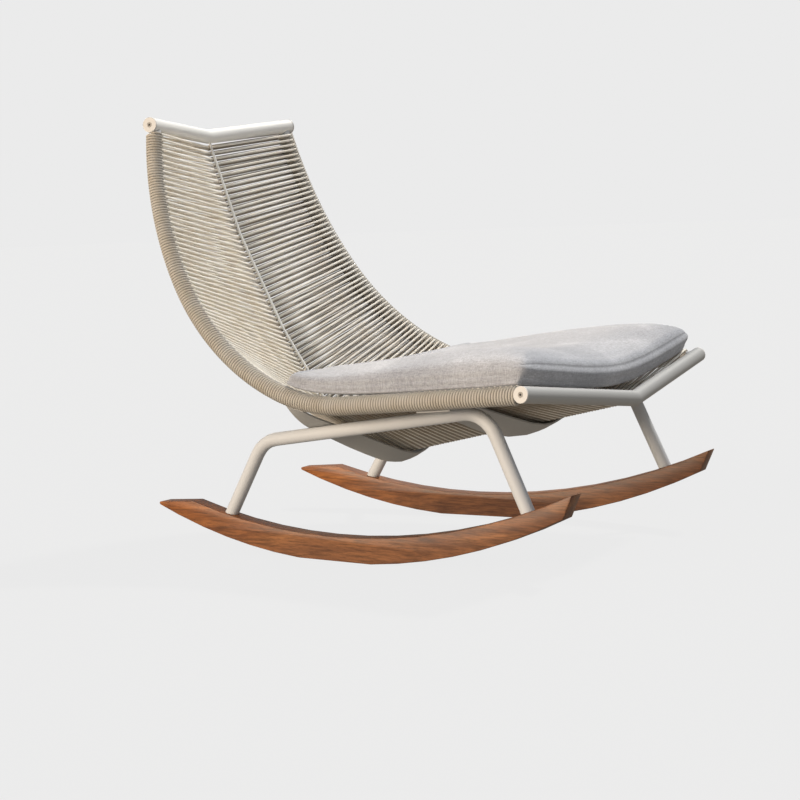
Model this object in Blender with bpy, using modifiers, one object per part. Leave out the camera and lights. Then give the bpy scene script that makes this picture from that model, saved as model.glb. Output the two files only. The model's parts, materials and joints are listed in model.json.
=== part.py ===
"""Rocking chair: a cord sling on a bent tube frame that stands on two timber rockers."""

import math

import bmesh
import bpy
import numpy as np
from mathutils import Matrix, Vector

for leftover in list(bpy.data.objects):
    bpy.data.objects.remove(leftover, do_unlink=True)

# Driving dimensions in metres and degrees. +Y points to the rear and +X to the sitter's left.
# z = 0 is the floor, and y = 0 the middle of the stretch that the rockers rest on.
FIT = 0.0003  # gap between pieces that touch
ROUND_SIDES = 12  # facets round a frame tube
ARC_STEP = 7.5  # degrees between points on a bend
RUN_STEP = 0.14  # longest straight step along a tube

RAIL_RADIUS = 0.0125
RAIL_WALL = 0.0025
RAIL_FRONT = (-0.4653, 0.3364)  # y, z where a rail meets the front bar's axis
RAIL_HEADING = -4.55  # slope of the seat stretch, going to the rear
RAIL_SEAT = 0.390  # straight seat stretch
RAIL_BEND_RADII = (0.361, 0.502, 0.751)  # seat to top
RAIL_BEND_TURNS = (25.2, 37.8, 22.9)
RAIL_TAIL = 0.026  # straight end up to the top bar's axis
RAIL_HALF_FRONT = 0.358  # half the rails' spacing at the front bar
RAIL_HALF_TOP = 0.2195  # and at the top bar
RAIL_TAPER = 2.45  # how late along the rail the spacing closes

BAR_RADIUS = 0.015
BAR_WALL = 0.0025
BAR_SIDES = 16
BAR_MATERIALS = {"front_bar": "coated_aluminium", "top_bar": "coated_steel"}

SPINE_RADIUS = 0.0026
SPINE_SIDES = 8
SPINE_FRONT = (-0.4978, 0.2919)  # y, z of the front bar's vertex
SPINE_HEADING = -12.67
SPINE_KEEL = 0.526  # straight stretch under the seat
SPINE_BEND_RADII = (0.160, 1.785)
SPINE_BEND_TURNS = (65.2, 21.2)

ROPE_DIAMETER = 0.005
WRAP_END_GAP = 0.001  # from a bar to the first turn of cord

BASE_RADIUS = 0.013
BASE_WALL = 0.002
BASE_HALF_SPACING = 0.2705  # half the base tubes' spacing at y = 0
BASE_TOE = 2.92  # degrees by which each side closes to the rear
BASE_CORNER_Y = {"rear": 0.1716, "front": -0.3419}  # in the side's own plane
BASE_CORNER_DROP = {"rear": 0.0653, "front": 0.0049}  # from the sling at that saddle to the tube's corner
BASE_REAR_LEAN = 31.0  # legs from vertical
BASE_FRONT_LEAN = 24.8
BASE_BEND = 0.065

ROCKER_THICKNESS = 0.035
ROCKER_RADIUS = 1.150  # underside
ROCKER_TOP_RADIUS = 1.300
ROCKER_DEPTH = 0.050  # height at the middle
ROCKER_REST = 0.170  # flat stretch on the floor
ROCKER_REAR_Y = 0.436  # tip of the tail
ROCKER_TAIL_TIP = 0.005  # height of its blunt end
ROCKER_FRONT_Y = -0.505  # lower corner of the front end
ROCKER_TAIL_CUT = 4.0  # rise of the tail's cut, degrees
ROCKER_FRONT_CUT = 24.3  # lean of the front end from vertical, degrees
ROCKER_EDGE = 0.003  # rounding
ROCKER_STEP = 3.2  # degrees between points of the arcs

BOLT_RADIUS = 0.004
BOLT_HEAD_RADIUS = 0.0065
BOLT_HEAD_HEIGHT = 0.006
BOLT_SEAT_DEPTH = 0.018  # counterbore, from the rocker's underside
BOLT_GRIP = 0.028  # reach into the leg
COUNTERBORE_PLAY = 0.0015
INSERT_START = 0.007  # foot insert, from the leg's end
INSERT_LENGTH = 0.030

SADDLE_SHEET = 0.003
SADDLE_END_Y = {"rear": 0.040, "front": -0.271}  # middle of the sheet at the rails
SADDLE_END_WIDTH = {"rear": 0.040, "front": 0.070}
SADDLE_KEEL_Y = {"rear": 0.022, "front": -0.267}  # and under the keel
SADDLE_KEEL_WIDTH = {"rear": 0.085, "front": 0.105}
SADDLE_EDGE_DROP = 0.0135  # sheet below the spine at its edges
SADDLE_MIDDLE_DROP = 0.024
SADDLE_ROUND = 0.020  # rounding of the V under the keel
SADDLE_TUBE_REACH = 0.78  # where the sheet lies on a base tube, over the rail's half spacing
SADDLE_END_INSET = 0.003  # the sheet's edge inside the rail's axis
SADDLE_CROWDING = 1.5  # how the facets crowd to the keel
SADDLE_GRID = (20, 4)  # facets across and along, half of those across inside the base tubes

SCREW_RADIUS = 0.0026
SCREW_HEAD_RADIUS = 0.005
SCREW_HEAD_HEIGHT = 0.003
SADDLE_SCREW_LENGTH = 0.012
END_SCREW_LENGTH = 0.024
TURNED_STEPS = 12

CAP_THICKNESS = 0.004
CAP_SPIGOT = 0.010
END_INSERT_LENGTH = 0.010

STRAND_PITCH = 0.01125  # along a rail
STRAND_CORNER = 0.0045  # rounding of the turns
STRAND_MARGIN = 0.020  # from a bar's axis to the first strand
STRAND_LIFT = 45.0  # how far up round the wound rail a strand leaves it, degrees
WINDINGS = {"seat": (0.0, 0.435), "lower_back": (0.435, 0.73), "upper_back": (0.73, 1.0)}

CUSHION_WALL = 0.036  # height of the boxed edge at the front
CUSHION_REAR_WALL = 0.023  # and at the rear
CUSHION_CROWN = 0.040  # rise of the top above the edge at the front
CUSHION_REAR_CROWN = 0.004  # and at the rear
CUSHION_BRIM = 40  # how boxy the crown is: higher is flatter on top and steeper at the seam
CUSHION_BOXING = 14  # the same for the sag of the base and the roll of the rear edge
CUSHION_SAG = 0.004
CUSHION_OVERHANG = 0.002  # side edge past the rail's crest
CUSHION_REAR_Y = 0.074
CUSHION_SETBACK = 0.0145  # front edge behind the front bar's axis in the middle
CUSHION_SIDE_SETBACK = -0.002  # and at the sides
CUSHION_TAPER = 3  # how late the height falls off to the rear: higher is later
CUSHION_FRONT_DIP = 0.047  # how far the middle lies below the sides
CUSHION_REAR_DIP = 0.010
CUSHION_DRAW = 0.008  # how far the sides pull in between the corners
CUSHION_ROUND = 0.006  # rounding of the boxed edge at the top
CUSHION_FOOT_ROUND = 0.002  # and at the bottom
CUSHION_CORNER = 0.009  # how far the corners round off in plan
CUSHION_CORNER_REACH = 24  # how near the corner that starts: higher is nearer
CUSHION_REAR_ROUND = 0.020  # how far the rear edge rolls forward at the top
CUSHION_FRONT_ROUND = 0.015  # how far the front edge rolls back at the bottom
CUSHION_CROWDING = 2.4  # how the cage's rows crowd to its edges
CUSHION_BED = 0.0013  # how far the edge beds in below the rails' crest line
CUSHION_CUTS = 5

SIDES = {"right": -1, "left": 1}

# Sizes that follow from those above.
WRAP_RADIUS = RAIL_RADIUS + FIT + ROPE_DIAMETER
ROPE_RADIUS = ROPE_DIAMETER / 2
FLAT = math.cos(math.pi / ROUND_SIDES)  # a facet's distance over its corner's, on a tube
SPIGOT_RADIUS = (BAR_RADIUS - BAR_WALL) * math.cos(math.pi / BAR_SIDES) - FIT

COLLECTIONS = {}
for label in ("rocking_chair", "cutters"):
    COLLECTIONS[label] = bpy.data.collections.new(label)
    bpy.context.scene.collection.children.link(COLLECTIONS[label])

FINISHES = {
    "timber": ((0.33, 0.17, 0.075), 0.55, 0.0),
    "coated_aluminium": ((0.80, 0.77, 0.71), 0.45, 0.0),
    "coated_steel": ((0.82, 0.79, 0.73), 0.45, 0.0),
    "steel": ((0.55, 0.55, 0.56), 0.35, 1.0),
    "cap": ((0.78, 0.74, 0.68), 0.40, 0.0),
    "cord": ((0.74, 0.67, 0.56), 0.85, 0.0),
    "fabric": ((0.60, 0.61, 0.62), 0.95, 0.0),
}


def finish(label):
    """The material of that name, made on first use."""
    material = bpy.data.materials.get(label)
    if material is None:
        colour, roughness, metallic = FINISHES[label]
        material = bpy.data.materials.new(label)
        material.use_nodes = True
        shader = material.node_tree.nodes["Principled BSDF"]
        shader.inputs["Base Color"].default_value = (*colour, 1.0)
        shader.inputs["Roughness"].default_value = roughness
        shader.inputs["Metallic"].default_value = metallic
    return material


def empty(name, parent=None, matrix=None):
    """A parent frame, which is no piece of the chair."""
    frame = bpy.data.objects.new(name, None)
    COLLECTIONS["rocking_chair"].objects.link(frame)
    frame.parent = parent
    if matrix is not None:
        frame.matrix_local = matrix
    return frame


def place(name, data, material, parent, matrix=None):
    """A piece of the chair, in its parent's frame. With no material it is a cutter."""
    piece = bpy.data.objects.new(name, data)
    COLLECTIONS["rocking_chair" if material else "cutters"].objects.link(piece)
    piece.parent = parent
    if matrix is not None:
        piece.matrix_local = matrix
    if material:
        data.materials.append(finish(material))
    else:
        piece.hide_render = True
        piece.display_type = "WIRE"
    return piece


def settled_mesh(piece):
    """The piece's evaluated shape as a plain mesh, with its end caps welded on."""
    bpy.context.view_layer.update()
    graph = bpy.context.evaluated_depsgraph_get()
    mesh = bpy.data.meshes.new_from_object(piece.evaluated_get(graph))
    edit = bmesh.new()
    edit.from_mesh(mesh)
    bmesh.ops.remove_doubles(edit, verts=edit.verts, dist=1e-6)
    edit.to_mesh(mesh)
    edit.free()
    return mesh


def tube(name, points, radius, sides, material, parent):
    """A round tube along the points, as a mesh."""
    curve = bpy.data.curves.new(name, "CURVE")
    curve.dimensions = "3D"
    curve.bevel_depth = radius
    curve.bevel_resolution = sides // 2 - 2
    curve.use_fill_caps = True
    spline = curve.splines.new("POLY")
    spline.points.add(len(points) - 1)
    for knot, point in zip(spline.points, points):
        knot.co = (*point, 1.0)
    drawn = bpy.data.objects.new(name + "_curve", curve)
    COLLECTIONS["cutters"].objects.link(drawn)
    mesh = settled_mesh(drawn)
    mesh.name = name
    mesh.materials.clear()
    bpy.data.objects.remove(drawn, do_unlink=True)
    mesh.shade_smooth()
    mesh.set_sharp_from_angle(angle=math.radians(40))
    return place(name, mesh, material, parent)


def cut(piece, cutter):
    """Takes the cutter out of the piece."""
    step = piece.modifiers.new(cutter.name, "BOOLEAN")
    step.operation = "DIFFERENCE"
    step.solver = "EXACT"
    step.object = cutter


def rod(name, start, end, radius, sides, parent):
    """A straight cutter from start to end."""
    return tube(name, [start, end], radius, sides, None, parent)


def turned(name, outline, material, parent, matrix, steps=TURNED_STEPS, closed=False):
    """A piece turned about its local Z. The outline's outer side runs from top to bottom."""
    mesh = bpy.data.meshes.new(name)
    edges = [(i, i + 1) for i in range(len(outline) - 1)]
    if closed:
        edges.append((len(outline) - 1, 0))
    mesh.from_pydata([(r, 0.0, z) for r, z in outline], edges, [])
    piece = place(name, mesh, material, parent, matrix)
    screw = piece.modifiers.new("turn", "SCREW")
    screw.steps = steps
    screw.render_steps = steps
    screw.use_merge_vertices = True
    screw.merge_threshold = 1e-5
    screw.use_smooth_shade = False
    return piece


def pointing(origin, direction):
    """A frame at the origin whose Z axis runs along the direction."""
    return Matrix.Translation(origin) @ Vector(direction).to_track_quat("Z", "Y").to_matrix().to_4x4()


def screw_outline(head_radius, head_height, radius, length):
    """Half section of a cylinder-head screw, seated at z = 0 with its head above."""
    return [
        (0.0, head_height),
        (head_radius, head_height),
        (head_radius, 0.0),
        (radius, 0.0),
        (radius, -length),
        (0.0, -length),
    ]


def socket_screw(name, head_radius, head_height, radius, length, parent, matrix):
    """A turned screw with a six-sided socket in its head."""
    outline = screw_outline(head_radius, head_height, radius, length)
    piece = turned(name, outline, "steel", parent, matrix)
    depth = head_height * 0.6
    bpy.ops.mesh.primitive_cylinder_add(vertices=6, radius=head_radius * 0.5, depth=2 * depth)
    socket = bpy.context.object
    socket.name = name + "_socket"
    for owner in list(socket.users_collection):
        owner.objects.unlink(socket)
    COLLECTIONS["cutters"].objects.link(socket)
    socket.parent = parent
    socket.matrix_local = matrix @ Matrix.Translation((0, 0, head_height))
    socket.hide_render = True
    socket.display_type = "WIRE"
    cut(piece, socket)
    return piece


def planar_run(start, heading, legs):
    """Points of a run in (y, z). A leg is a straight (length,) or a bend (radius, turn)."""
    y, z = start
    angle = math.radians(heading)
    points = [(y, z)]
    for leg in legs:
        if len(leg) == 1:
            count = math.ceil(leg[0] / RUN_STEP)
            for i in range(1, count + 1):
                reach = leg[0] * i / count
                points.append((y + reach * math.cos(angle), z + reach * math.sin(angle)))
        else:
            radius, turn = leg
            count = math.ceil(turn / ARC_STEP)
            for i in range(1, count + 1):
                swung = angle + math.radians(turn) * i / count
                across = radius * (math.sin(swung) - math.sin(angle))
                rise = radius * (math.cos(angle) - math.cos(swung))
                points.append((y + across, z + rise))
            angle += math.radians(turn)
        y, z = points[-1]
    return np.array(points)


def run_lengths(points):
    """Distance along the points, from the first."""
    steps = np.linalg.norm(np.diff(points, axis=0), axis=1)
    return np.concatenate([[0.0], np.cumsum(steps)])


def along(points, share):
    """The point at a share of the run's length."""
    lengths = run_lengths(points)
    return np.array([np.interp(share * lengths[-1], lengths, column) for column in points.T])


def heading_at(points, share):
    """Unit direction of the run at a share of its length."""
    reach = 0.004
    step = along(points, min(1.0, share + reach)) - along(points, max(0.0, share - reach))
    return step / np.linalg.norm(step)


RAIL_BENDS = list(zip(RAIL_BEND_RADII, RAIL_BEND_TURNS))
SPINE_BENDS = list(zip(SPINE_BEND_RADII, SPINE_BEND_TURNS))


def rail_points(side):
    """Axis of a side rail, from the front bar's axis to the top bar's."""
    flat = planar_run(RAIL_FRONT, RAIL_HEADING, [(RAIL_SEAT,), *RAIL_BENDS, (RAIL_TAIL,)])
    share = run_lengths(flat) / run_lengths(flat)[-1]
    half = RAIL_HALF_FRONT - (RAIL_HALF_FRONT - RAIL_HALF_TOP) * share**RAIL_TAPER
    return np.column_stack([side * half, flat])


def spine_points():
    """Axis of the spine, from the front bar's vertex to the top bar's."""
    flat = planar_run(SPINE_FRONT, SPINE_HEADING, [(SPINE_KEEL,), *SPINE_BENDS])
    return np.column_stack([np.zeros(len(flat)), flat])


RAILS = {label: rail_points(side) for label, side in SIDES.items()}
SPINE = spine_points()


def bar_points(end):
    """Axis of a V bar over the rails' ends and the spine's: end 0 is the front, -1 the top."""
    vertex = SPINE[end]
    arm = RAILS["right"][end] - vertex
    arm = arm * (1.0 + WRAP_RADIUS / np.linalg.norm(arm))
    return np.array([vertex + arm, vertex, vertex + arm * (-1, 1, 1)])


BARS = {"front_bar": bar_points(0), "top_bar": bar_points(-1)}


def rail_at(y):
    """Half spacing and height of the rails' axes at y."""
    rail = RAILS["left"]
    return np.interp(y, rail[:, 1], rail[:, 0]), np.interp(y, rail[:, 1], rail[:, 2])


def stretched(points, extra):
    """The same run, longer by extra at both ends."""
    first = points[0] - points[1]
    last = points[-1] - points[-2]
    head = points[0] + first / np.linalg.norm(first) * extra
    tail = points[-1] + last / np.linalg.norm(last) * extra
    return np.vstack([head, points[1:-1], tail])


def trimmed(points, start, end):
    """The run between two distances, measured from its two ends."""
    lengths = run_lengths(points)
    total = lengths[-1]
    inner = points[(lengths > start) & (lengths < total - end)]
    return np.vstack([along(points, start / total), inner, along(points, 1.0 - end / total)])


def side_frame(side):
    """The upright plane of one side's base tube and rocker, toed in to the rear."""
    turn = Matrix.Rotation(math.radians(side * BASE_TOE), 4, "Z")
    return Matrix.Translation((side * BASE_HALF_SPACING, 0, 0)) @ turn


def sling_height(x, y):
    """Height of the sling between a rail's axis and the spine's."""
    half, height = rail_at(y)
    keel = np.interp(y, SPINE[:, 1], SPINE[:, 2])
    return keel + (height - keel) * x / half


def base_corner(where):
    """A corner of a base tube, in its side's plane: as far below the sling as the saddle there needs."""
    height = sling_height(BASE_HALF_SPACING, SADDLE_END_Y[where]) - BASE_CORNER_DROP[where]
    return BASE_CORNER_Y[where], height


BASE_REAR_CORNER = base_corner("rear")
BASE_FRONT_CORNER = base_corner("front")


def base_top_height(y):
    """Height of a base tube's top rail at y in its own plane."""
    rear, front = BASE_REAR_CORNER, BASE_FRONT_CORNER
    return rear[1] + (front[1] - rear[1]) * (y - rear[0]) / (front[0] - rear[0])


def base_tube_at(y):
    """Half spacing and height of the base tubes' top rails at y."""
    reach = y / math.cos(math.radians(BASE_TOE))
    return BASE_HALF_SPACING - reach * math.sin(math.radians(BASE_TOE)), base_top_height(reach)


REST_ANGLE = math.asin(ROCKER_REST / 2 / ROCKER_RADIUS)
UNDER_CENTRE = ROCKER_RADIUS * math.cos(REST_ANGLE)
TOP_CENTRE = UNDER_CENTRE - ROCKER_RADIUS + ROCKER_DEPTH + ROCKER_TOP_RADIUS


def reach_circle(start, direction, radius, centre, entering):
    """How far along a line in (y, z) it enters or leaves the circle about (0, centre)."""
    offset = start - np.array((0.0, centre))
    half = np.dot(offset, direction)
    root = math.sqrt(half**2 - np.dot(offset, offset) + radius**2)
    return -half - root if entering else -half + root


def slanted(degrees):
    """Unit direction in (y, z) at an angle from straight up, leaning to the rear."""
    return np.array((math.sin(math.radians(degrees)), math.cos(math.radians(degrees))))


LEGS = {
    "rear": (np.array(BASE_REAR_CORNER), -slanted(-BASE_REAR_LEAN)),
    "front": (np.array(BASE_FRONT_CORNER), -slanted(BASE_FRONT_LEAN)),
}


def leg_line(leg):
    """Foot of a leg on its rocker, its downward direction, and the drop to the underside."""
    corner, down = LEGS[leg]
    foot = corner + down * reach_circle(corner, down, ROCKER_TOP_RADIUS, TOP_CENTRE, False)
    return foot, down, reach_circle(foot, down, ROCKER_RADIUS, UNDER_CENTRE, False)


def in_plane(point):
    """A point of the side's own (y, z) plane in three dimensions."""
    return Vector((0.0, float(point[0]), float(point[1])))


def filleted(corners, radius):
    """A run of straights through the corners, with each bend an arc of the radius."""
    points = [corners[0]]
    for before, corner, after in zip(corners, corners[1:], corners[2:]):
        back = (before - corner).normalized()
        ahead = (after - corner).normalized()
        half = back.angle(ahead) / 2
        centre = corner + (back + ahead).normalized() * radius / math.sin(half)
        start = corner + back * radius / math.tan(half)
        turn = math.pi - 2 * half
        axis = back.cross(ahead).normalized()
        count = math.ceil(math.degrees(turn) / (2 * ARC_STEP))
        for i in range(count + 1):
            swing = Matrix.Rotation(-turn * i / count, 3, axis)
            points.append(centre + swing @ (start - centre))
    points.append(corners[-1])
    return points


def rocker_outline(lift=0.0):
    """The rocker's side view in (y, z). Lift raises its upper edge, for a clearance cut."""
    front = -math.asin(-ROCKER_FRONT_Y / ROCKER_RADIUS)
    rear = math.asin(ROCKER_REAR_Y / ROCKER_RADIUS)
    step = math.radians(ROCKER_STEP)
    ahead = np.linspace(front, -REST_ANGLE, math.ceil((-REST_ANGLE - front) / step) + 1)
    behind = np.linspace(REST_ANGLE, rear, math.ceil((rear - REST_ANGLE) / step) + 1)
    outline = [
        (ROCKER_RADIUS * math.sin(a), UNDER_CENTRE - ROCKER_RADIUS * math.cos(a))
        for a in np.concatenate([ahead, behind])
    ]
    outline.append((outline[-1][0], outline[-1][1] + ROCKER_TAIL_TIP))
    radius = ROCKER_TOP_RADIUS - lift
    ends = []
    for corner, lean in ((outline[-1], ROCKER_TAIL_CUT - 90.0), (outline[0], -ROCKER_FRONT_CUT)):
        reach = reach_circle(np.array(corner), slanted(lean), radius, TOP_CENTRE, True)
        ends.append(math.asin((corner[0] + slanted(lean)[0] * reach) / radius))
    last, first = ends
    for a in np.linspace(last, first, math.ceil((last - first) / step) + 1):
        outline.append((radius * math.sin(a), TOP_CENTRE - radius * math.cos(a)))
    return outline


def plate(name, outline, thickness):
    """A flat outline in (y, z), given a thickness across x, as a mesh."""
    curve = bpy.data.curves.new(name, "CURVE")
    curve.dimensions = "2D"
    curve.fill_mode = "BOTH"
    curve.extrude = thickness / 2
    spline = curve.splines.new("POLY")
    spline.points.add(len(outline) - 1)
    spline.use_cyclic_u = True
    for knot, (y, z) in zip(spline.points, outline):
        knot.co = (y, z, 0.0, 1.0)
    drawn = bpy.data.objects.new(name + "_curve", curve)
    COLLECTIONS["cutters"].objects.link(drawn)
    mesh = settled_mesh(drawn)
    mesh.name = name
    mesh.materials.clear()
    bpy.data.objects.remove(drawn, do_unlink=True)
    mesh.transform(Matrix(((0, 0, 1, 0), (1, 0, 0, 0), (0, 1, 0, 0), (0, 0, 0, 1))))
    return mesh


def build_side(label, frame):
    """One rocker with its base tube, foot inserts and bolts."""
    rocker = place(f"rocker_{label}", plate("rocker", rocker_outline(), ROCKER_THICKNESS), "timber", frame)
    rounding = rocker.modifiers.new("edges", "BEVEL")
    rounding.width = ROCKER_EDGE
    rounding.segments = 2
    rounding.limit_method = "ANGLE"
    rounding.angle_limit = math.radians(50)

    feet = {leg: leg_line(leg) for leg in LEGS}
    past = ROCKER_DEPTH / 2
    corners = [
        in_plane(feet["rear"][0] + feet["rear"][1] * past),
        in_plane(BASE_REAR_CORNER),
        in_plane(BASE_FRONT_CORNER),
        in_plane(feet["front"][0] + feet["front"][1] * past),
    ]
    axis = np.array([tuple(point) for point in filleted(corners, BASE_BEND)])
    base = tube(f"base_tube_{label}", axis, BASE_RADIUS, ROUND_SIDES, "coated_aluminium", frame)
    inside = BASE_RADIUS - BASE_WALL
    cut(base, tube(f"base_bore_{label}", stretched(axis, past), inside, ROUND_SIDES, None, frame))
    seat = plate("rocker_seat", rocker_outline(FIT), 2 * ROCKER_THICKNESS)
    cut(base, place(f"rocker_seat_{label}", seat, None, frame))

    for leg, (foot, down, drop) in feet.items():
        up = in_plane(-down)
        where = f"{leg}_{label}"
        head = in_plane(foot + down * (drop - BOLT_SEAT_DEPTH))
        below = in_plane(foot + down * (drop + past))
        above = in_plane(foot - down * past)
        cut(rocker, rod(f"bolt_hole_{where}", below, above, BOLT_RADIUS + 2 * FIT, ROUND_SIDES, frame))
        bore = BOLT_HEAD_RADIUS + COUNTERBORE_PLAY
        cut(rocker, rod(f"counterbore_{where}", below, head, bore, ROUND_SIDES, frame))
        length = drop - BOLT_SEAT_DEPTH + BOLT_GRIP
        seated = pointing(head - up * FIT, -up)
        socket_screw(
            f"rocker_bolt_{where}", BOLT_HEAD_RADIUS, BOLT_HEAD_HEIGHT, BOLT_RADIUS, length, frame, seated
        )
        outer = inside * FLAT - FIT
        inner = BOLT_RADIUS + FIT
        ring = [(outer, INSERT_LENGTH), (outer, 0.0), (inner, 0.0), (inner, INSERT_LENGTH)]
        plug = pointing(in_plane(foot) + up * INSERT_START, up)
        turned(f"foot_insert_{where}", ring, "steel", frame, plug, closed=True)
    return base


def hermite(start, end, start_slope, end_slope, share):
    """A smooth step from start to end in (x, z), with the given slopes."""
    span = np.linalg.norm(end - start)
    leave = span * np.array((math.cos(start_slope), math.sin(start_slope)))
    arrive = span * np.array((math.cos(end_slope), math.sin(end_slope)))
    a = share
    return (
        (2 * a**3 - 3 * a**2 + 1) * start
        + (a**3 - 2 * a**2 + a) * leave
        + (3 * a**2 - 2 * a**3) * end
        + (a**3 - a**2) * arrive
    )


def tube_contact(y, keel):
    """Where a saddle's middle layer lies on a base tube at y, in (x, z), and its slope there."""
    half, height = base_tube_at(y)
    reach = BASE_RADIUS + FIT + SADDLE_SHEET / 2
    slope = 0.0
    for _ in range(8):
        x = half - reach * math.sin(slope)
        rise = height + reach * math.cos(slope) - keel + SADDLE_ROUND
        slope = math.atan((rise**2 - SADDLE_ROUND**2) / (x * rise))
    return np.array((x, rise + keel - SADDLE_ROUND)), slope


def saddle_section(y, across, keel):
    """A saddle's middle layer at y: across runs from 0 at the keel to 1 at the rail, in (x, z)."""
    contact, slope = tube_contact(y, keel)
    if across < SADDLE_TUBE_REACH:
        x = contact[0] * across / SADDLE_TUBE_REACH
        rise = contact[1] - keel + SADDLE_ROUND
        flare = (rise**2 - SADDLE_ROUND**2) / contact[0] ** 2
        return x, keel - SADDLE_ROUND + math.sqrt(flare * x**2 + SADDLE_ROUND**2)
    half, height = rail_at(y)
    end = np.array((half - SADDLE_END_INSET, height - WRAP_RADIUS - FIT - SADDLE_SHEET / 2))
    chord = math.atan2(end[1] - contact[1], end[0] - contact[0])
    share = (across - SADDLE_TUBE_REACH) / (1.0 - SADDLE_TUBE_REACH)
    return hermite(contact, end, slope, 2 * chord - slope, share)


def saddle_keel(y, depth):
    """Height of a saddle's middle layer under the spine: depth runs from -1 to 1 over its width."""
    drop = SADDLE_EDGE_DROP + (SADDLE_MIDDLE_DROP - SADDLE_EDGE_DROP) * (1.0 - depth**2)
    return np.interp(y, SPINE[:, 1], SPINE[:, 2]) - drop


def saddle_y(where, across, depth):
    """Position along the chair of a point of a saddle."""
    middle = SADDLE_KEEL_Y[where] + (SADDLE_END_Y[where] - SADDLE_KEEL_Y[where]) * across**2
    narrowing = (SADDLE_END_WIDTH[where] - SADDLE_KEEL_WIDTH[where]) * across**2
    return middle + depth * (SADDLE_KEEL_WIDTH[where] + narrowing) / 2


def build_saddle(where, parent, bases):
    """A bent sheet under the sling, and the screws that hold it to the base tubes."""
    cells_across, cells_along = SADDLE_GRID
    bpy.ops.mesh.primitive_grid_add(x_subdivisions=cells_across, y_subdivisions=cells_along, size=2.0)
    grid = bpy.context.object
    mesh = grid.data.copy()
    bpy.data.objects.remove(grid, do_unlink=True)
    for vertex in mesh.vertices:
        side, depth = vertex.co.x, vertex.co.y
        across = SADDLE_TUBE_REACH * min(1.0, 2 * abs(side)) ** SADDLE_CROWDING
        across += (1.0 - SADDLE_TUBE_REACH) * max(0.0, 2 * abs(side) - 1.0)
        y = saddle_y(where, across, depth)
        x, z = saddle_section(y, across, saddle_keel(y, depth))
        vertex.co = (math.copysign(x, side), y, z)
    mesh.name = f"saddle_{where}"
    mesh.shade_smooth()
    sheet = place(f"saddle_{where}", mesh, "coated_aluminium", parent)
    shell = sheet.modifiers.new("sheet", "SOLIDIFY")
    shell.thickness = SADDLE_SHEET
    shell.offset = 0.0

    y = saddle_y(where, SADDLE_TUBE_REACH, 0.0)
    (x, z), slope = tube_contact(y, saddle_keel(y, 0.0))
    fall = base_top_height(0.0) - base_top_height(1.0)
    for label, side in SIDES.items():
        inward = Vector((-side * math.sin(slope), fall * math.cos(slope), math.cos(slope))).normalized()
        seat = Vector((side * x, y, z)) + inward * (SADDLE_SHEET / 2 + FIT)
        name = f"saddle_screw_{where}_{label}"
        hole = rod(
            name + "_hole",
            seat + inward * SCREW_HEAD_HEIGHT,
            seat - inward * (SADDLE_SCREW_LENGTH + SCREW_HEAD_HEIGHT),
            SCREW_RADIUS + 2 * FIT,
            ROUND_SIDES,
            parent,
        )
        cut(sheet, hole)
        cut(bases[label], hole)
        socket_screw(
            name,
            SCREW_HEAD_RADIUS,
            SCREW_HEAD_HEIGHT,
            SCREW_RADIUS,
            SADDLE_SCREW_LENGTH,
            parent,
            pointing(seat, inward),
        )


def build_bar(name, material, parent):
    """A hollow V bar."""
    axis = BARS[name]
    longer = stretched(axis, BAR_RADIUS)
    bar = tube(name, axis, BAR_RADIUS, BAR_SIDES, material, parent)
    cut(bar, tube(name + "_bore", longer, BAR_RADIUS - BAR_WALL, BAR_SIDES, None, parent))
    return bar


def build_bar_end(bar, label, parent):
    """The cap, screw and threaded insert in one end of a bar."""
    axis = BARS[bar]
    end, inner = (axis[0], axis[1]) if label == "right" else (axis[2], axis[1])
    outward = (end - inner) / np.linalg.norm(end - inner)
    frame = pointing(Vector(end), outward)
    where = f"{bar.split('_')[0]}_{label}"
    hole = SCREW_RADIUS + FIT
    recess = SCREW_HEAD_RADIUS + FIT
    seat = CAP_THICKNESS - SCREW_HEAD_HEIGHT
    cap = [
        (BAR_RADIUS, CAP_THICKNESS),
        (BAR_RADIUS, FIT),
        (SPIGOT_RADIUS, FIT),
        (SPIGOT_RADIUS, -CAP_SPIGOT),
        (hole, -CAP_SPIGOT),
        (hole, seat),
        (recess, seat),
        (recess, CAP_THICKNESS),
    ]
    turned(f"end_cap_{where}", cap, "cap", parent, frame, steps=BAR_SIDES, closed=True)
    raised = frame @ Matrix.Translation((0, 0, seat + FIT))
    socket_screw(
        f"end_screw_{where}",
        SCREW_HEAD_RADIUS,
        SCREW_HEAD_HEIGHT - FIT,
        SCREW_RADIUS,
        END_SCREW_LENGTH,
        parent,
        raised,
    )
    top = -CAP_SPIGOT - FIT
    ring = [
        (SPIGOT_RADIUS, top),
        (SPIGOT_RADIUS, top - END_INSERT_LENGTH),
        (hole, top - END_INSERT_LENGTH),
        (hole, top),
    ]
    turned(f"end_insert_{where}", ring, "steel", parent, frame, closed=True)


def build_rail(label, parent):
    """A side rail, coped to the two bars, and the cord wound close round it."""
    axis = RAILS[label]
    longer = stretched(axis, BAR_RADIUS)
    rail = tube(f"side_rail_{label}", axis, RAIL_RADIUS, ROUND_SIDES, "coated_steel", parent)
    cut(rail, tube(f"rail_bore_{label}", longer, RAIL_RADIUS - RAIL_WALL, ROUND_SIDES, None, parent))
    inset = BAR_RADIUS + WRAP_END_GAP
    wrap = tube(f"rail_wrap_{label}", trimmed(axis, inset, inset), WRAP_RADIUS, ROUND_SIDES, "cord", parent)
    cut(wrap, tube(f"wrap_core_{label}", axis, RAIL_RADIUS + FIT, ROUND_SIDES, None, parent))
    for bar, across in BARS.items():
        room = stretched(across, BAR_RADIUS)
        cope = tube(f"{bar}_cope_{label}", room, BAR_RADIUS + FIT, BAR_SIDES, None, parent)
        cut(rail, cope)
        cut(wrap, cope)


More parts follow.
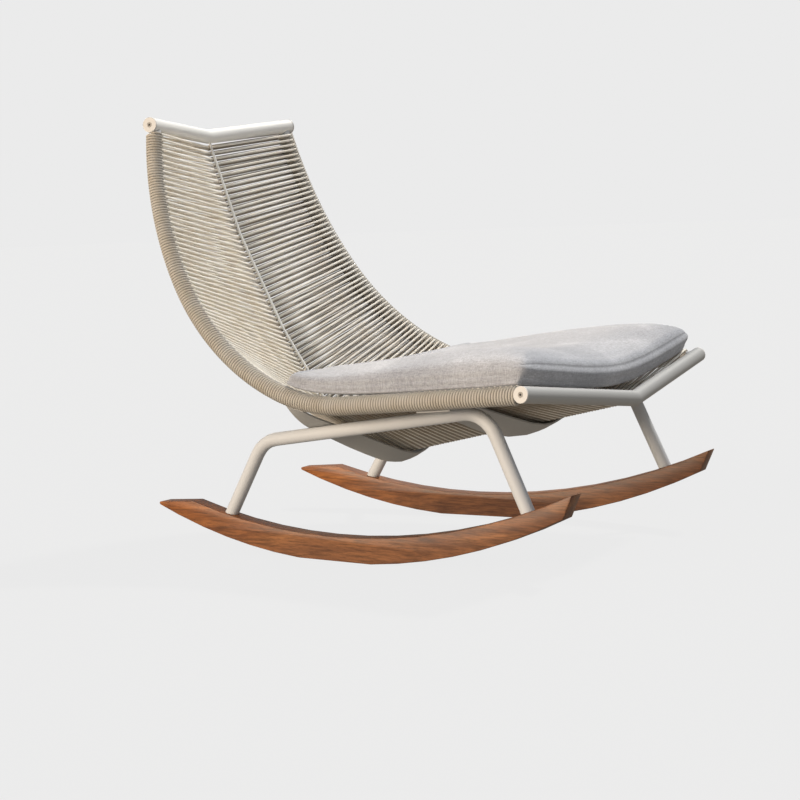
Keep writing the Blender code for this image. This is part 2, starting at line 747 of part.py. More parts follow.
def build_spine(parent, bars):
    """The thin rod down the middle, let into the two bars."""
    tube("spine_rod", SPINE, SPINE_RADIUS, SPINE_SIDES, "coated_steel", parent)
    socket = tube("spine_socket", SPINE, SPINE_RADIUS + 2 * FIT, SPINE_SIDES, None, parent)
    for bar in bars:
        cut(bar, socket)


def strand_ends(label, share):
    """Where a strand leaves the wound rail, and where it passes behind the spine."""
    side = SIDES[label]
    rail = along(RAILS[label], share)
    spine = along(SPINE, share)
    ahead = heading_at(SPINE, share)
    behind = np.array((0.0, ahead[2], -ahead[1]))
    hook = spine + behind * (SPINE_RADIUS + ROPE_RADIUS + FIT)
    hook[0] = side * (ROPE_RADIUS + FIT)
    inward = (hook - rail) / np.linalg.norm(hook - rail)
    raised = side * np.cross(heading_at(RAILS[label], share), inward)
    raised /= np.linalg.norm(raised)
    lift = math.radians(STRAND_LIFT)
    leave = inward * math.cos(lift) + raised * math.sin(lift)
    return rail + leave * (WRAP_RADIUS + ROPE_RADIUS + FIT), hook


def winding_points(label, first, last):
    """One unbroken cord to and fro between a rail and the spine."""
    length = run_lengths(RAILS[label])[-1]
    start = max(first * length, STRAND_MARGIN) + STRAND_PITCH / 2 * (first > 0)
    end = min(last * length, length - STRAND_MARGIN) - STRAND_PITCH / 2 * (last < 1)
    count = max(2, round((end - start) / STRAND_PITCH) + 1)
    strands = [strand_ends(label, s / length) for s in np.linspace(start, end, count)]
    points = [strands[0][0]]
    for i, (here, there) in enumerate(zip(strands, strands[1:])):
        turn = 1 if i % 2 == 0 else 0
        corner, partner = here[turn], there[turn]
        back = here[1 - turn] - corner
        onward = there[1 - turn] - partner
        step = partner - corner
        points.append(corner + back / np.linalg.norm(back) * STRAND_CORNER)
        points.append(corner + step / np.linalg.norm(step) * STRAND_CORNER)
        points.append(partner - step / np.linalg.norm(step) * STRAND_CORNER)
        points.append(partner + onward / np.linalg.norm(onward) * STRAND_CORNER)
    points.append(strands[-1][1 if count % 2 else 0])
    return np.array(points), count


def least_gap(points):
    """Least clear distance between stretches of a cord that don't follow on from each other."""
    lengths = run_lengths(points)
    reach = np.arange(0.0, lengths[-1], ROPE_DIAMETER)
    samples = np.column_stack([np.interp(reach, lengths, column) for column in points.T])
    apart = np.abs(reach[:, None] - reach[None, :])
    distance = np.linalg.norm(samples[:, None, :] - samples[None, :, :], axis=2)
    return distance[apart > 2 * STRAND_PITCH].min() - ROPE_DIAMETER


def build_windings(parent):
    """The cord strands of the sling, in three windings a side."""
    for label in SIDES:
        for stretch, (first, last) in WINDINGS.items():
            points, count = winding_points(label, first, last)
            name = f"rope_{stretch}_{label}"
            tube(name, points, ROPE_RADIUS, 6, "cord", parent)
            print(f"{name}: {count / 2:.1f} loops, least gap {1000 * least_gap(points):.1f} mm")


def cushion_point(across, depth, level):
    """A point of the cushion: across, depth (front to rear) and level run from -1 to 1."""
    share = (depth + 1.0) / 2.0
    middle, end = SPINE[0][1], RAILS["left"][0][1]
    middle, end = middle + CUSHION_SETBACK, end + CUSHION_SIDE_SETBACK
    front = middle + (end - middle) * abs(across)
    y = front + (CUSHION_REAR_Y - front) * share
    half, height = rail_at(y)
    half += CUSHION_OVERHANG
    dip = (CUSHION_FRONT_DIP + (CUSHION_REAR_DIP - CUSHION_FRONT_DIP) * share) * (1.0 - abs(across))
    rim = (1.0 - across**CUSHION_BOXING) * (1.0 - depth**CUSHION_BOXING)
    brim = (1.0 - across**CUSHION_BRIM) * (1.0 - depth**CUSHION_BRIM)
    floor = height + WRAP_RADIUS - CUSHION_BED - dip
    wall = CUSHION_WALL + (CUSHION_REAR_WALL - CUSHION_WALL) * share**CUSHION_TAPER
    crown = CUSHION_CROWN + (CUSHION_REAR_CROWN - CUSHION_CROWN) * share**CUSHION_TAPER
    roof = floor + wall + crown * brim
    floor -= CUSHION_SAG * rim * share
    z = floor + (roof - floor) * (level + 1.0) / 2.0
    tuck = (CUSHION_ROUND if level > 0 else CUSHION_FOOT_ROUND) * level**4
    corner = CUSHION_CORNER * abs(across * depth) ** CUSHION_CORNER_REACH
    x = across * (half - CUSHION_DRAW * (1.0 - depth**2) * abs(across) ** 3 - tuck - corner)
    pull = (CUSHION_DRAW * (1.0 - across**2) * (depth > 0) + tuck) * abs(depth) ** 3 + corner
    if depth > 0:
        pull += CUSHION_REAR_ROUND * ((1.0 + level) / 2.0) ** 2 * depth**CUSHION_BOXING
    else:
        pull += CUSHION_FRONT_ROUND * ((1.0 - level) / 2.0) ** 2 * depth**CUSHION_BOXING
    return x, y - math.copysign(pull, depth), z


def crowded(value):
    """A cage coordinate from -1 to 1, moved towards the nearer edge."""
    return math.copysign(1.0 - (1.0 - abs(value)) ** CUSHION_CROWDING, value)


def build_cushion(parent):
    """The loose seat pad, lying on the wound rails."""
    mesh = bpy.data.meshes.new("cushion")
    cage = bmesh.new()
    bmesh.ops.create_cube(cage, size=2.0)
    bmesh.ops.subdivide_edges(cage, edges=cage.edges, cuts=CUSHION_CUTS, use_grid_fill=True)
    for vertex in cage.verts:
        across, depth, level = vertex.co
        vertex.co = cushion_point(crowded(across), crowded(depth), level)
    cage.to_mesh(mesh)
    cage.free()
    mesh.shade_smooth()
    pad = place("cushion", mesh, "fabric", parent)
    soft = pad.modifiers.new("soft", "SUBSURF")
    soft.levels = 1
    soft.render_levels = 1


def centre_on_floor(chair):
    """Moves the chair so that its box stands centred on the origin."""
    bpy.context.view_layer.update()
    graph = bpy.context.evaluated_depsgraph_get()
    corners = []
    for piece in COLLECTIONS["rocking_chair"].objects:
        if piece.type == "MESH":
            shape = piece.evaluated_get(graph)
            corners.extend(shape.matrix_world @ vertex.co for vertex in shape.data.vertices)
    low = np.min(corners, axis=0)
    high = np.max(corners, axis=0)
    chair.location = (0.0, -(low[1] + high[1]) / 2, -low[2])


def build_chair():
    """The whole chair under one parent frame."""
    chair = empty("chair")
    bases = {}
    for label, side in SIDES.items():
        bases[label] = build_side(label, empty(f"side_{label}", chair, side_frame(side)))
    for where in SADDLE_END_Y:
        build_saddle(where, chair, bases)
    bars = [build_bar(name, material, chair) for name, material in BAR_MATERIALS.items()]
    for label in SIDES:
        build_rail(label, chair)
        for bar in BARS:
            build_bar_end(bar, label, chair)
    build_spine(chair, bars)
    build_windings(chair)
    build_cushion(empty("cushion_slide", chair))
    centre_on_floor(chair)
    print("chair frame placed at", [round(value, 6) for value in chair.location])


build_chair()
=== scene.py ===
"""Rope rocking chair: materials, wound cord, seat cushion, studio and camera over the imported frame."""

import json
import math

import bmesh
import bpy
import numpy as np
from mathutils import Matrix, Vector


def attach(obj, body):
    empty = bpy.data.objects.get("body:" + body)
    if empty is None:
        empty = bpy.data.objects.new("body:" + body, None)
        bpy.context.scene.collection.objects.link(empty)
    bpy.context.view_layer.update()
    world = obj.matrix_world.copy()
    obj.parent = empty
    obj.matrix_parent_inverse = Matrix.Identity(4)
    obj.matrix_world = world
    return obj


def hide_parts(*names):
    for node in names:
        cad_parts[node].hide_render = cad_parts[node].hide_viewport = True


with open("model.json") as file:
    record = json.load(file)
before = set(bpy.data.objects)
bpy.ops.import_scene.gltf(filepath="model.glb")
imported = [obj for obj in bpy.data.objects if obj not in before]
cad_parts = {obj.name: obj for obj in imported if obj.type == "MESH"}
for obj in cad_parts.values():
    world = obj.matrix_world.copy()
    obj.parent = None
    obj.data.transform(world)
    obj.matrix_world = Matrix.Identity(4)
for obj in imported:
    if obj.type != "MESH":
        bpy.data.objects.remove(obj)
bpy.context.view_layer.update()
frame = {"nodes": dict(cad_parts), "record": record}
NODES = frame["nodes"]

SIDES = {"right": -1, "left": 1}
ROW_Y = 0.017303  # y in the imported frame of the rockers' rest, from which the runs below are laid out
STEP = 0.004  # longest step between the points of a run
HEADING_REACH = 0.004  # share of a run, ahead and behind, from which its direction is taken
TINY = 1e-9  # keeps a division from zero

# Rails and spine, as in the solids. A leg is a straight (length,) or a bend (radius, degrees)
RAIL_RADIUS = 0.0128  # with the gap under its cord
RAIL_FRONT = (-0.4653, 0.3364)  # y, z where a rail meets the front bar's axis
RAIL_HEADING = -4.55  # slope of the seat stretch, going to the rear
RAIL_LEGS = ((0.390,), (0.361, 25.2), (0.502, 37.8), (0.751, 22.9), (0.026,))
RAIL_HALF_FRONT = 0.358  # half the rails' spacing at the front bar
RAIL_HALF_TOP = 0.2195  # and at the top bar
RAIL_TAPER = 2.45  # how late along the rail the spacing closes
BAR_RADIUS = 0.015
SPINE_RADIUS = 0.0026
SPINE_FRONT = (-0.4978, 0.2919)
SPINE_HEADING = -12.67
SPINE_LEGS = ((0.526,), (0.160, 65.2), (1.785, 21.2))

# Cord. Its tones run from 0.74 for the darkest to 1 for the palest; the low ones are painted shade
ROPE_RADIUS = 0.0025
CORD_SIDES = 8  # facets round the cord
ASKEW = (0.31, 0.27, 0.91)  # a direction that no cord starts in
BRAID = 0.0042  # length of one braid on the cord
COIL_RADIUS = RAIL_RADIUS + ROPE_RADIUS
# painted shade on the close turns, for the shadow between their ridges
COIL_PAINTED_SHADE = 0.80
COIL_STEPS = 14  # points a turn
COIL_END_GAP = 0.001  # between a bar and the nearest turn
STRAND_PITCH = 0.01125  # along a rail
STRAND_MARGIN = 0.020  # from a bar's axis to the first strand
STRAND_JITTER = 3e-4  # spread of the strands' places along a rail
STRAND_RISE = 0.0012  # how far a strand stands up on the close turns where it goes round the rail
STRAND_TURN = 28.0  # degrees of the rail that a strand follows among the close turns
STRAND_STEPS = 5  # points on that turn
STRAND_STOPS = (0.08, 0.4, 0.75, 1.0)  # shares of the straight stretch where it has a point
FRONT_LIFT = 68.0  # degrees up round the rail where the front strands leave it
SEAT_BACK_LIFT = 38.0  # the rear strands under the seat, which clear the base tubes
REAR_LIFT = -62.0  # the rear strands of the back
REAR_DEPTH = 0.7  # cords that the rear strands lie behind the front ones at the spine
SEAT_GAPS = (0.5,)  # where rear strands lie between two front ones under the seat, in strand spacings
BACK_GAPS = (0.25, 0.75)  # and in the back
END_GAP = 0.25  # and past the first and last front strand
SEAT_SHARE = 0.42  # share of the rail under the seat
BACK_SHARE = 0.60  # share where the back's own winding starts
FRONT_TONES = (0.94, 1.05)
REAR_PAINTED_SHADE = {"right": 0.90, "left": 0.78}  # the rear strands of the back get painted shade, more on the far half
SEAT_PAINTED_SHADE = 0.75  # and more painted shade under the seat
TONE_FADE = 0.06  # share of the rail over which one changes to the other
TONE_SPREAD = (0.98, 1.02)

# Cushion, with the sizes of its solid down to the cage's cuts
CUSHION_WALL = 0.036  # height of the boxed edge at the front
CUSHION_REAR_WALL = 0.023  # and at the rear
CUSHION_CROWN = 0.040  # rise of the top above the edge at the front
CUSHION_REAR_CROWN = 0.004  # and at the rear
CUSHION_TAPER = 3  # how late the height falls off to the rear: higher is later
CUSHION_BRIM = 40  # how boxy the crown is: higher is flatter on top and steeper at the seam
CUSHION_BOXING = 14  # the same for the sag of the base and the rolled edges
CUSHION_SAG = 0.004
CUSHION_OVERHANG = 0.002  # side edge past the rail's crest
CUSHION_REAR_Y = 0.074
CUSHION_SETBACK = 0.0145  # front edge behind the front bar's axis in the middle
CUSHION_SIDE_SETBACK = -0.002  # and at the sides
CUSHION_FRONT_DIP = 0.047  # how far the middle lies below the sides
CUSHION_REAR_DIP = 0.010
CUSHION_DRAW = 0.008  # how far the sides pull in between the corners
CUSHION_ROUND = 0.006  # rounding of the boxed edge at the top
CUSHION_FOOT_ROUND = 0.002  # and at the bottom
CUSHION_CORNER = 0.009  # how far the corners round off in plan
CUSHION_CORNER_REACH = 24  # how near the corner that starts: higher is nearer
CUSHION_REAR_ROUND = 0.020  # how far the rear edge rolls forward at the top
CUSHION_FRONT_ROUND = 0.015  # how far the front edge rolls back at the bottom
CUSHION_BED = 0.0013  # how far the edge beds in below the rails' crest line
CUSHION_CROWDING = 2.4  # how the cage's rows crowd to its edges
CUSHION_CUTS = 5
CUSHION_LEVELS = 3  # of subdivision
CUSHION_SEAM = 0.0012  # depth of the sewn line
CUSHION_SEAM_WIDTH = 0.002
CUSHION_SEAM_SHOWN = ((-0.98, -0.90), (1.0, 0.25))  # strength by depth: clear at the front edge, then faint
CUSHION_SLACK = 0.0035  # how much smaller it is cut than it puffs out
CUSHION_PUFF = 0.006  # most that the pressure moves a point
CUSHION_SEAM_HOLD = 0.02  # from the seam to where the cloth is free
CUSHION_BASE_HOLD = 0.6  # and from the base, in level
CLOTH_FRAMES = 20

# Coats. The light on the object is partly in their tints: one has painted light, one painted shade
WHITE = (0.54, 0.55, 0.565)
PAINTED_LIGHT_WHITE = (0.86, 0.845, 0.815)  # painted light: a lighter copy of the coat for the spine and top bar
PAINTED_SHADE_WHITE = (0.40, 0.398, 0.39)  # painted shade: a darker copy of the coat for the front bar and saddles
CAP_WHITE = (0.61, 0.59, 0.565)
SCREW_GREY = (0.33, 0.305, 0.275)  # the four screws in the caps
# painted shade in the screws' sockets
SOCKET_PAINTED_SHADE = (0.02, 0.02, 0.02)
SOCKET_REACH = 0.00255  # just past the corners of such a screw's socket, from its axis
SMOOTH_ANGLE = 38.0  # degrees between facets up to which they shade as one surface
WELD = 1e-5

# Studio and camera
PALE = 0.83  # glow of the backdrop
FLOOR_GLOW = 0.805
FLOOR_TONE = 0.02
FLOOR_REACH = 30.0
DOME_RADIUS = 28.0
DOME_RINGS = 24
SKY = (
    (0.0, (0.30, 0.265, 0.22)),
    (0.48, (0.36, 0.335, 0.30)),
    (0.55, (0.42, 0.41, 0.395)),
    (1.0, (0.47, 0.52, 0.59)),
)  # colours of the light from straight below to straight above
CAMERA_PLACE = (-3.3067, -2.0665 + ROW_Y, 0.6974)
CAMERA_TURN = (83.834, 2.120, -57.975)  # degrees
CAMERA_LENS = 88.01
CAMERA_SENSOR = 36.0

rng = np.random.default_rng(seed=7)


def planar_run(start, heading, legs):
    """Points of a run in (y, z), close together, along its legs."""
    y, z = start
    angle = math.radians(heading)
    points = [(y, z)]
    for leg in legs:
        if len(leg) == 1:
            count = math.ceil(leg[0] / STEP)
            for i in range(1, count + 1):
                reach = leg[0] * i / count
                points.append((y + reach * math.cos(angle), z + reach * math.sin(angle)))
        else:
            radius, turn = leg
            count = math.ceil(radius * math.radians(turn) / STEP)
            for i in range(1, count + 1):
                swung = angle + math.radians(turn) * i / count
                across = radius * (math.sin(swung) - math.sin(angle))
                rise = radius * (math.cos(angle) - math.cos(swung))
                points.append((y + across, z + rise))
            angle += math.radians(turn)
        y, z = points[-1]
    return np.array(points)


def run_lengths(points):
    """Distance along the points, from the first."""
    steps = np.linalg.norm(np.diff(points, axis=0), axis=1)
    return np.concatenate([[0.0], np.cumsum(steps)])


def along(points, shares):
    """Points at shares of the run's length."""
    lengths = run_lengths(points)
    columns = [np.interp(np.asarray(shares) * lengths[-1], lengths, column) for column in points.T]
    return np.stack(columns, axis=-1)


def unit(vectors):
    """Vectors of length 1."""
    return vectors / np.linalg.norm(vectors, axis=-1, keepdims=True)


def heading_at(points, shares):
    """Unit directions of the run at shares of its length."""
    shares = np.asarray(shares)
    ahead = along(points, np.minimum(1.0, shares + HEADING_REACH))
    return unit(ahead - along(points, np.maximum(0.0, shares - HEADING_REACH)))


def rail_points(side):
    """Axis of a side rail, which leans in towards the top."""
    flat = planar_run(RAIL_FRONT, RAIL_HEADING, RAIL_LEGS)
    share = run_lengths(flat) / run_lengths(flat)[-1]
    half = RAIL_HALF_FRONT - (RAIL_HALF_FRONT - RAIL_HALF_TOP) * share**RAIL_TAPER
    return np.column_stack([side * half, flat + (ROW_Y, 0.0)])


def spine_points():
    """Axis of the spine, in the middle plane."""
    flat = planar_run(SPINE_FRONT, SPINE_HEADING, SPINE_LEGS)
    return np.column_stack([np.zeros(len(flat)), flat + (ROW_Y, 0.0)])


RAILS = {label: rail_points(side) for label, side in SIDES.items()}
SPINE = spine_points()


def show(name, mesh):
    """A new object in the scene, smooth shaded."""
    mesh.shade_smooth()
    piece = bpy.data.objects.new(name, mesh)
    bpy.context.scene.collection.objects.link(piece)
    return piece


def cords(name, lines, tones):
    """One mesh of closed round cords along the lines, with their tones and a UV map for the braid."""
    verts, faces, uvs = [], [], []
    sides = CORD_SIDES
    turn = np.linspace(0.0, 2.0 * math.pi, sides, endpoint=False)
    base = 0
    for line in lines:
        ahead = unit(np.gradient(line, axis=0))
        normal = np.cross(ahead[0], ASKEW)
        lengths = run_lengths(line) / BRAID + rng.random()
        for point, tangent in zip(line, ahead):
            normal = unit(normal - tangent * normal.dot(tangent))
            other = np.cross(tangent, normal)
            ring = np.outer(np.cos(turn), normal) + np.outer(np.sin(turn), other)
            verts.append(point + ROPE_RADIUS * ring)
        count = len(line)
        for i in range(count - 1):
            for k in range(sides):
                here = base + i * sides + k
                beside = base + i * sides + (k + 1) % sides
                faces.append((here, beside, beside + sides, here + sides))
                low, high = k / sides, (k + 1) / sides
                uvs += [lengths[i], low, lengths[i], high, lengths[i + 1], high, lengths[i + 1], low]
        faces.append(tuple(base + k for k in reversed(range(sides))))
        faces.append(tuple(base + (count - 1) * sides + k for k in range(sides)))
        uvs += [0.0] * (4 * sides)
        base += count * sides
    mesh = bpy.data.meshes.new(name)
    mesh.from_pydata(np.vstack(verts), [], faces)
    mesh.uv_layers.new(name="braid").data.foreach_set("uv", uvs)
    tone = np.repeat(tones, [len(line) * sides for line in lines])
    mesh.attributes.new("tone", "FLOAT", "POINT").data.foreach_set("value", tone)
    return show(name, mesh)


def strand_places(label):
    """Distances along a rail where the front strands leave it."""
    total = run_lengths(RAILS[label])[-1]
    count = round((total - 2 * STRAND_MARGIN) / STRAND_PITCH) + 1
    return np.linspace(STRAND_MARGIN, total - STRAND_MARGIN, count), total


def coil_line(label):
    """The cord's close turns round a rail, two to a strand, from the front bar to the top bar."""
    rail = RAILS[label]
    places, total = strand_places(label)
    pitch = (places[1] - places[0]) / 2
    clear = BAR_RADIUS + ROPE_RADIUS + COIL_END_GAP
    reach = np.linspace(clear, total - clear, int((total - 2 * clear) / pitch * COIL_STEPS))
    centre = along(rail, reach / total)
    ahead = heading_at(rail, reach / total)
    inward = unit(np.cross(ahead, np.cross((-SIDES[label], 0.0, 0.0), ahead)))
    raised = SIDES[label] * np.cross(ahead, inward)
    angle = (2.0 * math.pi * (reach - places[0]) / pitch + math.radians(FRONT_LIFT))[:, None]
    return centre + COIL_RADIUS * (inward * np.cos(angle) + raised * np.sin(angle))


def strand_line(label, share, lift, depth):
    """One strand: round part of the rail, straight across, and behind the spine by depth cords."""
    side = SIDES[label]
    rail, spine = along(RAILS[label], share), along(SPINE, share)
    ahead = heading_at(SPINE, share)
    behind = np.array((0.0, ahead[2], -ahead[1]))
    hook = spine + behind * (SPINE_RADIUS + ROPE_RADIUS * (1.0 + 2.0 * depth))
    inward = unit(hook - rail)
    raised = unit(side * np.cross(heading_at(RAILS[label], share), inward))
    swing = np.radians(np.linspace(lift + math.copysign(STRAND_TURN, lift), lift, STRAND_STEPS))
    stand = COIL_RADIUS + STRAND_RISE * np.linspace(0.0, 1.0, STRAND_STEPS)[:, None]
    wound = rail + stand * (np.outer(np.cos(swing), inward) + np.outer(np.sin(swing), raised))
    straight = wound[-1] + np.outer(STRAND_STOPS, hook - wound[-1])
    return np.vstack([wound, straight])


def strand_lines(label):
    """Front and rear strands of one half of the sling, and the tone of each: a random spread for the front,
    painted shade for the rear.
    """
    places, total = strand_places(label)
    pitch = places[1] - places[0]
    front = places + rng.normal(0.0, STRAND_JITTER, len(places))
    lines = [strand_line(label, reach / total, FRONT_LIFT, 0.0) for reach in front]
    rear = []
    for reach in places[:-1]:
        gaps = SEAT_GAPS if reach < SEAT_SHARE * total else BACK_GAPS
        rear += [reach + pitch * gap + rng.normal(0.0, STRAND_JITTER) for gap in gaps]
    rear += [places[0] - pitch * END_GAP, places[-1] + pitch * END_GAP]
    shares = np.array(rear) / total
    for share in shares:
        lift = np.interp(share, (SEAT_SHARE, BACK_SHARE), (SEAT_BACK_LIFT, REAR_LIFT))
        depth = np.interp(share, (SEAT_SHARE, BACK_SHARE), (0.0, REAR_DEPTH))
        lines.append(strand_line(label, share, lift, depth))
    # painted shade on the rear strands: the layer behind the front one, under the seat and on the far half
    rear_shade = np.interp(shares, (SEAT_SHARE - TONE_FADE, SEAT_SHARE), (SEAT_PAINTED_SHADE, REAR_PAINTED_SHADE[label]))
    bright = rng.uniform(*FRONT_TONES, len(places))
    return lines, np.concatenate([bright, rear_shade * rng.uniform(*TONE_SPREAD, len(rear))])


def rail_at(y):
    """Half spacing and height of the rails at y, measured from the rockers' rest."""
    rail = RAILS["left"]
    places = rail[:, 1] - ROW_Y
    return np.interp(y, places, rail[:, 0]), np.interp(y, places, rail[:, 2])


def cushion_point(across, depth, level):
    """A point of the cushion: across, depth (front to rear) and level run from -1 to 1."""
    share = (depth + 1.0) / 2.0
    middle = SPINE_FRONT[0] + CUSHION_SETBACK
    end = RAIL_FRONT[0] + CUSHION_SIDE_SETBACK
    front = middle + (end - middle) * abs(across)
    y = front + (CUSHION_REAR_Y - front) * share
    half, height = rail_at(y)
    half += CUSHION_OVERHANG
    dip = (CUSHION_FRONT_DIP + (CUSHION_REAR_DIP - CUSHION_FRONT_DIP) * share) * (1.0 - abs(across))
    rim = (1.0 - across**CUSHION_BOXING) * (1.0 - depth**CUSHION_BOXING)
    brim = (1.0 - across**CUSHION_BRIM) * (1.0 - depth**CUSHION_BRIM)
    floor = height + RAIL_RADIUS + 2 * ROPE_RADIUS - CUSHION_BED - dip
    wall = CUSHION_WALL + (CUSHION_REAR_WALL - CUSHION_WALL) * share**CUSHION_TAPER
    crown = CUSHION_CROWN + (CUSHION_REAR_CROWN - CUSHION_CROWN) * share**CUSHION_TAPER
    roof = floor + wall + crown * brim
    floor -= CUSHION_SAG * rim * share
    z = floor + (roof - floor) * (level + 1.0) / 2.0
    tuck = (CUSHION_ROUND if level > 0 else CUSHION_FOOT_ROUND) * level**4
    corner = CUSHION_CORNER * abs(across * depth) ** CUSHION_CORNER_REACH
    x = across * (half - CUSHION_DRAW * (1.0 - depth**2) * abs(across) ** 3 - tuck - corner)
    pull = (CUSHION_DRAW * (1.0 - across**2) * (depth > 0) + tuck) * abs(depth) ** 3 + corner
    if depth > 0:
        pull += CUSHION_REAR_ROUND * ((1.0 + level) / 2.0) ** 2 * depth**CUSHION_BOXING
    else:
        pull += CUSHION_FRONT_ROUND * ((1.0 - level) / 2.0) ** 2 * depth**CUSHION_BOXING
    return x, y - math.copysign(pull, depth) + ROW_Y, z


def crowded(value):
    """A cage coordinate from -1 to 1, moved towards the nearer edge."""
    return math.copysign(1.0 - (1.0 - abs(value)) ** CUSHION_CROWDING, value)


def cushion_cage():
    """The cushion's boxed cage, which keeps where each point lies: near an edge, up and in depth."""
    mesh = bpy.data.meshes.new("seat_cushion")
    cage = bmesh.new()
    bmesh.ops.create_cube(cage, size=2.0)
    bmesh.ops.subdivide_edges(cage, edges=cage.edges, cuts=CUSHION_CUTS, use_grid_fill=True)
    places = {"edge": [], "up": [], "depth": []}
    for vertex in cage.verts:
        across, depth, level = vertex.co
        across, depth = crowded(across), crowded(depth)
        places["edge"].append(max(abs(across), abs(depth)))
        places["up"].append(level)
        places["depth"].append(depth)
        vertex.co = cushion_point(across, depth, level)
    cage.to_mesh(mesh)
    cage.free()
    for name, values in places.items():
        mesh.attributes.new(name, "FLOAT", "POINT").data.foreach_set("value", values)
    return mesh


def taken(mesh, name):
    """The values that a mesh keeps under a name, which it then drops."""
    values = np.empty(len(mesh.vertices))
    mesh.attributes[name].data.foreach_get("value", values)
    mesh.attributes.remove(mesh.attributes[name])
    return values


def cushion_mesh():
    """The subdivided cushion, and each point's way from the seam, its level and the seam's strength there."""
    pad = bpy.data.objects.new("cage", cushion_cage())
    bpy.context.scene.collection.objects.link(pad)
    pad.modifiers.new("soft", "SUBSURF").levels = CUSHION_LEVELS
    fine = bpy.data.meshes.new_from_object(pad.evaluated_get(bpy.context.evaluated_depsgraph_get()))
    bpy.data.objects.remove(pad)
    fine.name = "seat_cushion"
    edge = taken(fine, "edge")
    up = taken(fine, "up")
    depth = taken(fine, "depth")
    seam = np.hypot((1.0 - edge) * RAIL_HALF_FRONT, (1.0 - up) / 2.0 * CUSHION_WALL)
    return fine, seam, up, np.interp(depth, *CUSHION_SEAM_SHOWN)


def set_cloth(cloth):
    """Cloth under pressure and without weight, held by the group of pins."""
    settings = cloth.settings
    settings.quality = 5
    settings.mass = 0.25
    settings.tension_stiffness = 12.0
    settings.compression_stiffness = 12.0
    settings.shear_stiffness = 4.0
    settings.bending_stiffness = 0.4
    settings.use_pressure = True
    settings.uniform_pressure_force = 4.0
    settings.vertex_group_mass = "seams"
    settings.effector_weights.gravity = 0.0
    cloth.collision_settings.use_collision = False
    cloth.point_cache.frame_start = 1
    cloth.point_cache.frame_end = CLOTH_FRAMES


def puffed(pad, cut, free):
    """Where the cushion's points lie once the pressure has moved them from where they are cut."""
    pad.data.vertices.foreach_set("co", cut.ravel())
    pad.data.update()
    pins = pad.vertex_groups.new(name="seams")
    for index, weight in enumerate((1.0 - free[:, 0]).tolist()):
        pins.add([index], weight, "REPLACE")
    cloth = pad.modifiers.new("cloth", "CLOTH")
    set_cloth(cloth)
    scene = bpy.context.scene
    for step in range(1, CLOTH_FRAMES + 1):
        scene.frame_set(step)
    spots = np.empty(cut.size)
    pad.evaluated_get(bpy.context.evaluated_depsgraph_get()).data.vertices.foreach_get("co", spots)
    move = spots.reshape(-1, 3) - cut
    size = np.linalg.norm(move, axis=1, keepdims=True)
    pad.modifiers.remove(cloth)
    pad.vertex_groups.clear()
    scene.frame_set(1)
    return cut + move * np.minimum(1.0, CUSHION_PUFF / np.maximum(size, TINY)) * free


def plump(pad, seam, up, shown):
    """Puff the cushion out, held at its seam and base, then press the sewn line in."""
    mesh = pad.data
    cut = np.empty(len(mesh.vertices) * 3)
    normals = np.empty(len(mesh.vertices) * 3)
    mesh.vertices.foreach_get("co", cut)
    mesh.vertices.foreach_get("normal", normals)
    cut = cut.reshape(-1, 3)
    normals = normals.reshape(-1, 3)
    free = np.clip(seam / CUSHION_SEAM_HOLD, 0.0, 1.0) * np.clip((up + 1.0) / CUSHION_BASE_HOLD, 0.0, 1.0)
    free = free[:, None]
    cut = puffed(pad, cut - normals * CUSHION_SLACK * free, free)
    sewn = shown * np.exp(-((seam / CUSHION_SEAM_WIDTH) ** 2))
    cut = cut - normals * CUSHION_SEAM * sewn[:, None]
    mesh.vertices.foreach_set("co", cut.ravel())
    mesh.attributes.new("sewn", "FLOAT", "POINT").data.foreach_set("value", sewn)
    mesh.update()


